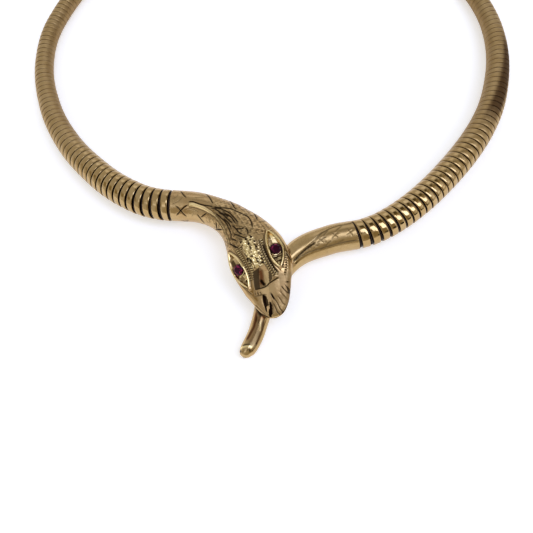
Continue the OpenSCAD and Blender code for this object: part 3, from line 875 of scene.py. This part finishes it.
# The snout's long cuts painted dark as the shade in them, widening towards the lip, and the dark one at
# the fan's side
SNOUT_CUTS = [
    (39.4, 104, 0), (40.5, 109.5, 0), (42.1, 116, 0), (43.2, 124, 0), (39.8, 97, -0.05),
    (40.9, 101.5, -0.3), (42.1, 107, -0.4), (43.3, 118, -0.3), (40.9, 95.5, 0), (42.1, 98, 0),
    (41.3, 92.5, 0), (42.8, 101, -0.1), (43.9, 122, -0.1), (44.5, 143, 0), (41.6, 89.5, -0.05),
    (42.9, 91, -0.25), (44, 98, -0.3), (44.6, 126, -0.1), (38.5, 44, 0), (39.2, 26, -0.1), (39.9, 0, -0.1),
    (40.8, 4, 0), (40.2, 24, 0),
]
SNOUT_CUT_FACES = [
    (0, 1, 5, 4, 1, 0), (1, 2, 6, 5, 1, 0), (2, 3, 7, 6, 1, 0), (4, 5, 8, 0.9, 0), (5, 6, 9, 8, 0.86, 0),
    (10, 11, 15, 14, 1, 0), (11, 12, 16, 15, 1, 0), (12, 13, 17, 16, 1, 0), (18, 19, 22, 0.85, 0),
    (19, 20, 21, 22, 0.9, 0),
]
# The fan of lines on the snout's matt plate, and how dark each is painted as the shade in it
FAN = [
    [(41.8, 86), (42.1, 85), (43.2, 79), (44.1, 67), (44.6, 20)],
    [(41.8, 75), (42.2, 73), (43.3, 62), (44.3, 25)],
    [(40.6, 82), (41.4, 78), (42.7, 67), (43.6, 51), (44.1, 10)],
    [(40.6, 70), (41.3, 63), (42.3, 48), (42.8, 20)], [(39.6, 65), (40.2, 58), (41.2, 40), (42.1, 16)],
    [(39.6, 60), (40.7, 49), (41.5, 26), (41.7, 8)], [(38.7, 56), (39.3, 49), (40, 36), (40.5, 14)],
    [(41.2, 87), (43.1, 90), (44.3, 98)],
]
FAN_DARK = (0.75, 0.35, 0.7, 0.6, 0.25, 0.5, 0.8, 0.5)


def ripple(points):
    """Small uneven waves, as the stroke of a burnisher leaves, from about -1 to 1."""
    rng = np.random.default_rng(23)
    ways = unit(rng.normal(size=(7, 3)))
    lengths = rng.uniform(0.5, 1.1, 7)
    waves = enumerate(zip(ways, lengths))
    return sum(np.sin(points @ way * 2 * np.pi / length + k) for k, (way, length) in waves) / 3


def engrave_head(relief, s, a):
    """Every cut and raised line of the head."""
    high = np.sin(np.radians(a))
    # Fine strokes over the crown
    rng = np.random.default_rng(11)
    for k in range(90):
        x = rng.uniform(14, 27)
        y = rng.uniform(max(90, 76 + (27 - x)), 128 - 0.8 * abs(x - 22))
        lean = rng.uniform(-10, 6)
        relief.groove([(x, y), (x + rng.uniform(0.6, 1.5), y + lean)], 0.2, 0.1, rng.uniform(0.15, 0.8))
    # Lines of one kind: their width, depth and how dark their painted shade is
    for lines, *stroke in (
        (CROSSES, 0.23, 0.12, 1.0), (DASHES, 0.23, 0.12, 0.95), (FAINT_DASHES, 0.18, 0.04, 0.3),
        (LEAVES, 0.24, 0.13, 0.95), (FEATHERS, 0.26, 0.15, 0.95),
        ([[(x - 0.25, y), (x + 0.25, y)] for x, y in PITS], 0.34, 0.3, 1.0),
    ):
        relief.grooves(lines, *stroke)
    relief.ridge(CREST, 0.62, height=0.3, bright=0.95, thins=0.36)
    two_rows = [(-0.5, 0.46), (0.5, 0.46)]
    relief.milling(LEFT_MILLING, 0.56, two_rows, depth=0.24, bright=0.9, slant=0.25, ground=0.7)
    two_rows = [(-0.42, 0.36), (0.42, 0.36)]
    relief.milling(RIGHT_BEADS, 0.6, two_rows, depth=0.26, bright=1.0, slant=-0.2, ground=0.9)
    relief.groove(RIGHT_RAIL, 0.3, 0.14, 0.95)
    for knots in CHEEK_DOTS:
        relief.milling(knots, 0.6, [(0.0, 0.36)], depth=0.2, bright=0.1)
    relief.groove(CHEEK_CUT, 0.28, 0.12, 0.95)
    # The fan's matt plate, and the matt corner beside it
    x, y = (a - 88) * np.pi / 180 * 5.2, s - 38.2
    turn = np.degrees(np.arctan2(-x, y))
    plate = ease((y + 1.2) / 0.8) * ease((turn + 4) / 4) * ease((a + 2) / 8)
    plate *= ease((HEAD_LENGTH - 0.1 - s) / 0.6)
    corner = ease((s - 35) / 1.5) * ease((62 - a) / 6) * ease((high + 0.1) / 0.3)
    relief.add("satin", np.maximum(plate, corner))
    relief.bright *= 1 - plate
    # Facets painted dark and bright as the reflections in them, and a painted warm reflection in the mirror
    # cuts
    relief.facets(PATCH, PATCH_FACES, s, a)
    relief.facets(MIRROR, MIRROR_FACES, s, a)
    relief.paint_line("red", [(34.0, 92), (35.6, 93), (37.2, 97)], 1.0, 0.9)
    # Burnished waves, low on the crown and higher on the bright patch
    crown = between(s, 9, 27.5, 5, 2) * ease((high - 0.1) / 0.4)
    patch = between(s, 25, 33.6, 0.8) * between(a, 76, 108, 4)
    waves = ripple(relief.points)
    relief.height += (0.004 + 0.03 * crown + 0.12 * patch) * waves
    # Painted dark spots where the waves stand highest, and on the patch painted glints where they lie lowest,
    # as the mottled reflections of the burnished surface
    relief.add("cut", (0.5 * crown + patch) * ease((waves - 0.2) / 0.25) * (1 - relief.bright))
    relief.add("bright", patch * ease((-waves - 0.05) / 0.2))
    # Painted shade over the matt corner, dimming its reflection
    relief.add("cut", 0.28 * corner * ease((44 - s) / 3))
    for knots, dark in zip(FAN, FAN_DARK):
        relief.groove(knots, 0.2, 0.05, dark)
    relief.facets(SNOUT_CUTS, SNOUT_CUT_FACES, s, a)
    for knots, width, dark in SNOUT_LINES:
        relief.groove(knots, width, 0.13, dark)
    relief.grooves([MOUTH, [(x, 180 - y) for x, y in MOUTH]], 0.3, 0.22, 1.0)
    for eye, cuts, hand_set in zip(eyes, EYE_CUTS, RIM_SETTINGS):
        set_eye(relief, eye, cuts, *hand_set)


# How each rim is turned and bent, in degrees, and how much shorter its front half is
RIM_SETTINGS = [(5, 8, 1.14), (0, 0, 1)]
# Cuts at both ends of an eye's plate: from, to, tilt, and how dark and bright they are painted, as the
# dark and light their flanks reflect, left and right of its middle
EYE_CUTS = [
    [
        (-4.8, -2.6, 0.3, (0.5, 0), (0, 0.8)), (-2.6, -1.3, -0.2, (0.35, 0), (0.25, 0.3)),
        (1.3, 1.9, 0.5, (0, 0.8), (0.1, 0.5)), (1.9, 2.5, -0.5, (0.95, 0), (0.8, 0)),
        (2.5, 3, 0.5, (0.2, 0.2), (0, 0.9)), (3, 3.6, -0.5, (0.7, 0), (0.9, 0)),
        (3.6, 4.8, 0.3, (0.1, 0.6), (0.3, 0.5)),
    ],
    [
        (-4.8, -2.8, 0.3, (0.3, 0.1), (0.15, 0.3)), (-2.8, -1.3, -0.2, (0.75, 0), (0.3, 0.1)),
        (1.3, 1.8, 0.5, (0, 0.7), (0.1, 0.9)), (1.8, 2.6, -0.5, (0.45, 0.1), (0.2, 0.3)),
        (2.6, 3.1, 0.5, (0.3, 0.2), (0, 0.8)), (3.1, 3.8, -0.4, (0.5, 0), (0.95, 0)),
        (3.8, 4.8, 0.3, (0.2, 0.4), (0.5, 0.2)),
    ],
]


def set_eye(relief, eye, cuts, turn, bend, shorter):
    """The marquise rim with a painted highlight, its sunk plate with cuts painted dark and bright as the
    light they reflect, and the hole for the stone, painted dark as the shade in it.
    The rim is turned about its stone, and its front half is bent further and made shorter."""
    centre, along, across, out = eye
    d = relief.points - centre
    u, v, depth = d @ along, d @ across, np.abs(d @ out)
    c, t = cos_sin(turn)
    u, v = u * c - v * t, v * c + u * t
    v = v + math.tan(math.radians(bend)) * np.maximum(u, 0)
    u = np.where(u > 0, u * shorter, u)
    near = (depth < 2.6) & (np.abs(u) < RIM_LENGTH / 2 + 1.2) & (relief.normals @ out > -0.1)
    half = RIM_WIDTH / 2 * (1 - (2 * u / RIM_LENGTH) ** 2)
    edge = np.abs(v) - half
    # Nothing of the engraving round it runs into the rim
    cleared = ease((0.5 - edge) / 0.2) * near
    for value in (relief.height, relief.cut, relief.satin, relief.bright):
        value *= 1 - cleared
    inside = ease((-0.14 - edge) / 0.16) * near
    rim = np.exp(-(((edge - 0.06) / 0.3) ** 2)) * near
    relief.height += rim * (RIM_HEIGHT + 0.08) - inside * (PLATE_DEPTH + 0.1)
    # Painted highlight along the rim's crest
    relief.add("bright", 0.9 * ease(rim * 2.2 - 0.8) * (np.abs(u) < RIM_LENGTH / 2 - 0.2))
    # A line of painted shade outside the rim and one inside it
    for place, width in ((0.56, 0.22), (-0.32, 0.16)):
        line = hump(edge - place, width) * near * (np.abs(u) < RIM_LENGTH / 2 + 0.2)
        relief.height -= line * 0.08
        relief.add("cut", line * 0.9)
    from_stone = np.hypot(u, v) - STONE_D / 2
    for low, high, tilt, left, right in cuts:
        here = inside * (u >= low) * (u < high) * (from_stone > 0.1)
        relief.height += here * (tilt * (u - (low + high) / 2) + 0.22 * np.abs(v) / np.maximum(half, 0.3))
        for side, (dark, bright) in ((v < 0, left), (v >= 0, right)):
            relief.cut = np.where(here * side > 0.5, dark, relief.cut)
            relief.bright = np.where(here * side > 0.5, bright, relief.bright)
    collet = np.exp(-(((from_stone - 0.12) / 0.1) ** 2)) * near
    hole = (1 - ease((from_stone + 0.2) / 0.2)) * near
    relief.height += collet * 0.16 - hole * (PAVILION_H - 0.1)
    # Painted shade in the hole round the stone
    dark = (1 - ease((from_stone - 0.02) / 0.14)) * near
    relief.add("cut", dark)
    relief.bright *= 1 - dark


def sleeve(plain, end, angles, rows, lean):
    """A sleeve and what follows it, before the engraving: the relief, the distance and angle of its points,
    and where its edge lies. The rows lean with the wound strip at the edge, and stand upright further on."""
    rows = rows[:, None]
    edge = seam_gap(end[2]) / 2 - lean
    s = np.where(rows < UPRIGHT, edge + (UPRIGHT - edge) * rows / UPRIGHT, rows)
    a = np.broadcast_to(angles, s.shape)
    lattice = plain(s, a)
    relief = Relief(lattice.reshape(-1, 3), normals_of(lattice).reshape(-1, 3), plain)
    return relief, s.ravel(), a.ravel(), edge


def close_sleeve(name, end, angles, edge, marks, points, gold, replaces):
    """The piece with the blind socket in its sleeve, and closed at both ends."""
    path, z, at = end
    columns, bore = len(angles), tube_r(np.array(at)) - BAND_WALL
    socket = []
    for place in (seam_gap(at) / 2 + SOCKET_DEPTH + 0 * edge, edge):
        centre, _, side = path.frame(place, z)
        socket.append(centre + bore * outward(side, np.radians(angles)))
    points = np.concatenate([*socket, points])
    rows = len(points) // columns
    faces = quads(rows, columns)[:, ::-1].tolist() + end_caps(rows, columns)
    mesh_piece(name, points, faces, gold, marks, replaces)


def build_head():
    rows = np.r_[np.linspace(0, 20, 112), np.linspace(20, 37, 168)[1:], np.linspace(37, HEAD_LENGTH, 112)[1:]]
    angles = np.r_[np.linspace(-16, 196, 206), np.linspace(196, 344, 44)[1:-1]]
    lean = HEAD_LEAN * np.cos(np.radians(angles))
    relief, s, a, edge = sleeve(plain_head, HEAD_END, angles, rows, lean)
    high = np.sin(np.radians(a))
    relief.satin[:] = 0.3 * ease((25 - s) / 6) * ease((high + 0.3) / 0.4)
    engrave_head(relief, s, a)
    # Painted shade on the head's underside towards the snout
    relief.add("cut", 0.75 * ease((-high - 0.25) / 0.5) * ease((s - 26) / 6))
    points = relief.raised(HEAD_LENGTH - s, 0.5)
    below = (high < 0) & (s > 16)
    points[below, 2] = np.maximum(points[below, 2], tail_roof(points[below]))
    marks = relief.marks(2 * len(angles))
    close_sleeve("snake_head", HEAD_END, angles, edge, marks, points, head_gold, ["head"])


# The tones of a stone's facets and how often each comes, and the tone of its table
FACET_TONES, FACET_SHARES, TABLE_TONE = [0.02, 0.25, 0.5, 0.8, 0.97], [0.36, 0.2, 0.18, 0.14, 0.12], 0.3


def cut_stone(name, eye, node, seed):
    """A round stone with a table, star, bezel and girdle facets, and a pointed back."""
    centre, along, across, out = eye
    r = STONE_D / 2

    def ring(radius, z, turn, count=8):
        t = 2 * np.pi * (np.arange(count) + turn) / count
        return np.stack([radius * np.cos(t), radius * np.sin(t), np.full(count, z)], -1)

    points = np.vstack([
        ring(r * 0.56, CROWN_H, 0.5), ring(r * 0.80, CROWN_H * 0.62, 0), ring(r, 0.0, 0, 16),
        ring(r, -0.06, 0, 16), ring(r * 0.16, -PAVILION_H, 0),
    ])
    table, star, girdle, under, point = 0, 8, 16, 32, 48
    faces = [list(range(8))]
    for k in range(8):
        m, mid, end = (k + 1) % 8, 2 * k + 1, (2 * k + 2) % 16
        faces += [
            [table + k, star + k, star + m], [table + k, star + m, table + m],
            [star + k, girdle + 2 * k, girdle + mid], [star + k, girdle + mid, star + m],
            [star + m, girdle + mid, girdle + end], [under + mid, under + 2 * k, point + k],
            [point + m, under + mid, point + k], [under + end, under + mid, point + m],
        ]
    faces += [[girdle + j, under + j, under + (j + 1) % 16, girdle + (j + 1) % 16] for j in range(16)]
    faces.append([point + k for k in range(8)][::-1])
    # Each facet keeps its own points, so that its tone ends at its edges
    rng = np.random.default_rng(seed)
    loose, own, tones = [], [], []
    for face in faces:
        tone = rng.choice(FACET_TONES, p=FACET_SHARES) if loose else TABLE_TONE
        own.append(list(range(len(loose), len(loose) + len(face))))
        loose += [points[i] for i in face]
        tones += [tone] * len(face)
    loose = np.array(loose)
    world = centre + loose[:, :1] * along + loose[:, 1:2] * across + loose[:, 2:] * out
    piece = mesh_piece(name, world, own, stone_red, {"facet": tones}, [node])
    piece.data.shade_flat()


# The tail

PANEL_BACK = [
    (0.3, 124), (1.4, 118), (4.8, 114), (8.2, 102.4), (10.5, 84.6), (12.9, 70.7), (14.9, 63), (18.5, 55.5),
]
PANEL_FRONT = [(0.3, 41), (1.6, 42), (4.6, 41), (8.9, 42), (12.9, 46.5), (16.1, 50), (18.5, 54)]
PANEL_CROSSES = [
    [(2.1, 95), (1.2, 60)], [(0.6, 88), (2.9, 66)], [(6, 92), (4.9, 62)], [(4.5, 88), (6.8, 65)],
    [(9.6, 88), (8.7, 60)], [(8.2, 83), (10.7, 66)], [(12.7, 66), (12.1, 54)], [(11.7, 68), (13.7, 55)],
    [(3.2, 112), (5, 92)], [(6.6, 106), (8.3, 88)], [(3.4, 52), (5.2, 44)], [(7.4, 56), (8.8, 44)],
]
WEDGE = [(10.6, 74), (12.3, 67), (14.7, 60.8), (18.3, 54.8)]
# Brown painted shade on the tail: the head's painted shadow, darkest where the tail comes out from under it,
# and painted dark reflections; then its painted warm reflections and its painted glints
TAIL_PAINTED_SHADE = [
    ([(30.6, 150), (31.8, 136), (32.8, 116), (33.7, 94), (34.1, 78)], 1, 1),
    ([(30.5, 120), (31.5, 100), (32.5, 80)], 1.6, 1),
    ([(33.9, 118), (36.6, 110), (38.3, 115), (40.4, 122)], 0.5, 0.6),
    ([(34.2, 64), (35, 60), (36.5, 50), (39.2, 52), (40.5, 45)], 0.5, 0.8),
    ([(34.4, 112), (35.8, 104)], 0.4, 0.85), ([(35, 92), (36.2, 88)], 0.35, 0.75),
    ([(35.2, 66), (36.6, 60)], 0.35, 0.8), ([(34, 92), (37, 86), (41, 84)], 1.2, 0.3),
    ([(37.6, 64), (39.5, 66), (41.6, 74)], 1.6, 0.62), ([(42.3, 132), (41.6, 102), (41.2, 78)], 0.32, 0.95),
    ([(43.2, 150), (43.5, 128)], 0.45, 1), ([(42.1, 70), (42.7, 52)], 0.4, 1),
    ([(39.9, 52), (40.8, 46)], 0.35, 1),
]
# Painted warm reflections on the tail
TAIL_WARM_REFLECTIONS = [
    ([(33.4, 125), (36.6, 110), (38.3, 115), (40.6, 122)], 0.8, 0.9), ([(34.2, 100), (35.6, 84)], 1.3, 0.5),
    ([(33.4, 78), (34.6, 66)], 0.8, 0.8), ([(36, 98), (38.5, 92), (41, 96)], 0.9, 0.35),
    ([(35, 58), (38, 54), (40.5, 46)], 0.5, 0.6),
]
# Painted glints on the tail
TAIL_GLINTS = [
    ([(34.9, 80), (36.2, 72), (37.7, 58)], 0.3, 1),
    ([(43, 152), (42.3, 110), (41.7, 80), (41.3, 62)], 0.42, 1),
]


def plain_tail(s, a):
    """A point of the tail before its engraving, at distance s and angle a in degrees."""
    s, a = np.broadcast_arrays(np.asarray(s, float), np.radians(np.asarray(a, float)))
    centre, _, side = tail_path.frame(s, form(TAIL_FORM, 1, s))
    return centre + form(TAIL_FORM, 2, s)[..., None] * outward(side, a)


def engrave_tail(relief, s, a):
    """The sunk panel with its crosses and fine strokes on the sleeve, and the painted shadow, reflections and
    glints of the rod.
    """
    back, front = (np.interp(s, *np.array(line).T) for line in (PANEL_BACK, PANEL_FRONT))
    mm = np.pi / 180 * form(TAIL_FORM, 2, s)
    inside = ease((back - a) * mm / 0.2) * ease((a - front) * mm / 0.2) * (s < 18.8)
    relief.height -= 0.1 * inside
    relief.add("satin", (0.6 + 0.3 * inside) * ease((17 - s) / 4))
    relief.grooves((PANEL_BACK, PANEL_FRONT), 0.22, 0.1, 0.6, 0.15)
    relief.grooves(PANEL_CROSSES, 0.22, 0.08, 0.42)
    relief.groove(WEDGE, 0.3, 0.2, 0.9)
    rng = np.random.default_rng(5)
    for k in range(26):
        x = rng.uniform(0.8, 11.5)
        y = rng.uniform(50, 100 - 2.2 * x)
        stroke = [(x, y), (x + rng.uniform(0.4, 1.2), y + rng.uniform(-6, 6))]
        relief.groove(stroke, 0.2, 0.06, rng.uniform(0.2, 0.6))
    for key, painted_lines in (("cut", TAIL_PAINTED_SHADE), ("red", TAIL_WARM_REFLECTIONS), ("bright", TAIL_GLINTS)):
        for paint_line in painted_lines:
            relief.paint_line(key, *paint_line)


def build_tail():
    rows = np.r_[np.linspace(0, 20, 170), np.linspace(20, 41, 60)[1:], np.linspace(41, TAIL_LENGTH, 40)[1:]]
    angles = np.linspace(0, 360, 132, endpoint=False)
    relief, s, a, edge = sleeve(plain_tail, TAIL_END, angles, rows, -tail_lean(np.radians(angles)))
    engrave_tail(relief, s, a)
    points, marks = relief.raised(TAIL_LENGTH - s, 0.6), relief.marks(2 * len(angles))
    close_sleeve("snake_tail", TAIL_END, angles, edge, marks, points, tail_gold, ["tail"])


wind_strip()
wind_inner_strip()
build_head()
cut_stone("eye_stone_left", eyes[0], "stone_left", 3)
cut_stone("eye_stone_right", eyes[1], "stone_right", 4)
build_tail()
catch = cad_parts["tail_catch"]
catch.data.materials.clear()
catch.data.materials.append(polished_gold("catch_gold", GOLD, GOLD_PINK, 0.3))

# Floor, light and camera


def pale_floor():
    made, f = material("pale_floor")
    f.surface(
        "BsdfPrincipled", Base_Color=f.blend(f.grain(3, 2), (0.80, 0.80, 0.80), (0.82, 0.82, 0.82)),
        Roughness=0.7, Specular_IOR_Level=0.2, Emission_Color=(1, 1, 1, 1), Emission_Strength=0.48,
    )
    half = 1.5
    corners = half * np.array([(-1, -1, 0), (1, -1, 0), (1, 1, 0), (-1, 1, 0)])
    floor = add_mesh("floor", corners, [(0, 1, 2, 3)], made)


def pale_backdrop():
    """A plain dome behind everything. Only the camera sees it, so that the tent shows in the gold alone."""
    made, f = material("pale_backdrop")
    f.surface("Emission", Color=(1, 1, 1, 1), Strength=0.97)
    radius, rows, columns = 1.4, 24, 64
    lift, turn = np.linspace(-2, 89, rows), np.linspace(0, 360, columns, endpoint=False)
    lift, turn = np.radians(np.meshgrid(lift, turn, indexing="ij"))
    points = radius * np.stack([np.cos(lift) * np.cos(turn), np.cos(lift) * np.sin(turn), np.sin(lift)], -1)
    faces = quads(rows, columns).tolist() + [end_caps(rows, columns)[1][::-1]]
    dome = add_mesh("backdrop", points.reshape(-1, 3), faces, made)
    dome.visible_glossy = dome.visible_diffuse = dome.visible_shadow = False
    dome.visible_transmission = dome.visible_volume_scatter = False


# The tent's brightness from straight below, over the horizon, to its top
TENT_TONES = [(0, 0.7), (0.5, 0.7), (0.66, 0.66), (0.85, 0.56)]
# Soft shapes in the light tent: bearing and height in degrees, half angle, softness, brightness
TENT = [
    (-92, 20, 30, 10, 0.46), (-53, 26, 15, 8, 0.32), (84, 34, 9, 6, 1.02), (-134, 51, 7, 4, 1.25),
    (-150, 64, 6, 4, 0.86), (-168, 30, 8, 6, 0.28), (177, 34, 6, 5, 0.28), (35, 65, 11, 5, 0.36),
    (70, 57, 6.5, 2, 0.08), (58, 62, 6, 2, 0.09), (44, 64, 5, 2, 0.12), (30, 61, 5, 3, 0.26),
    (-6, 4, 6, 4, 0.27), (10, 14, 11, 5, 0.32), (26, 12, 9, 4, 0.13), (30, 27, 9, 4, 0.13),
    (40, 38, 6, 4, 0.19), (-43, 10, 6, 2, 0.03), (-36, 4, 6, 2, 0.02), (-29, 3, 4, 2, 0.06),
    (-17, 20, 6, 4, 1.15), (-22, 40, 6, 3, 2.8), (-24, 52, 11, 3, 3.5), (-11, 66, 7, 3, 3.2),
    (4, 74, 6, 3, 3.2), (-26, 66, 6, 3, 3), (-40, 81, 8, 3, 2.4), (-92, 64, 6, 4, 0.12),
]


def light_tent():
    world = bpy.data.worlds.new("light_tent")
    bpy.context.scene.world = world
    world.use_nodes = True
    f = Finish(world.node_tree)
    ray = f.node("TexCoord", output=0)
    direction = f.node("VectorMath", {"operation": "NORMALIZE"}, Vector=ray)
    height = f.node("SeparateXYZ", output=2, Vector=direction)
    tones = [(place, (tone,) * 3) for place, tone in TENT_TONES]
    shade = f.node("ValToRGB", {"stops": tones}, Fac=height * 0.5 + 0.5)
    for bearing, lift, half, soft, bright in TENT:
        (east, north), (level, up) = cos_sin(bearing), cos_sin(lift)
        way = (east * level, north * level, up)
        dot = {"operation": "DOT_PRODUCT"}
        facing = f.node("VectorMath", dot, output=1, Vector=direction, Vector_001=way)
        outer, inner = cos_sin(half + soft)[0], cos_sin(half)[0]
        # Shapes brighter than the tent are cooler than it, and darker ones warmer
        cool = min(1, max(-1, math.log2(bright / 0.7) / 1.6))
        less_red, more_blue = (0.1, 0.34) if cool > 0 else (0.22, 0.5)
        colour = (bright * (1 - less_red * cool), bright, bright * (1 + more_blue * cool))
        shade = f.blend(f.band(facing, outer, inner), shade, colour)
    background = f.node("Background", Color=shade, Strength=1.0)
    f.node("OutputWorld", Surface=background)


def camera():
    """The photo's view: 65 degrees above the surface, rolled 6 degrees."""
    (across, up), (c, t), distance = cos_sin(65), cos_sin(6), 140.05
    aim = Vector((-7.0, -58.7, 3.4))
    back, level, upward = Vector((0, -across, up)), Vector((1, 0, 0)), Vector((0, up, across))
    right, top = c * level - t * upward, t * level + c * upward
    data = bpy.data.cameras.new("camera")
    data.sensor_width, data.lens = 36, 38.97
    data.clip_start, data.clip_end = 0.01, 10
    made = add_object("camera", data)
    turned = Matrix((right, top, back)).transposed().to_4x4()
    made.matrix_world = Matrix.Translation((aim + back * distance) * MM) @ turned
    bpy.context.scene.camera = made


pale_floor()
pale_backdrop()
light_tent()
camera()
bpy.context.scene.view_settings.view_transform = "Standard"
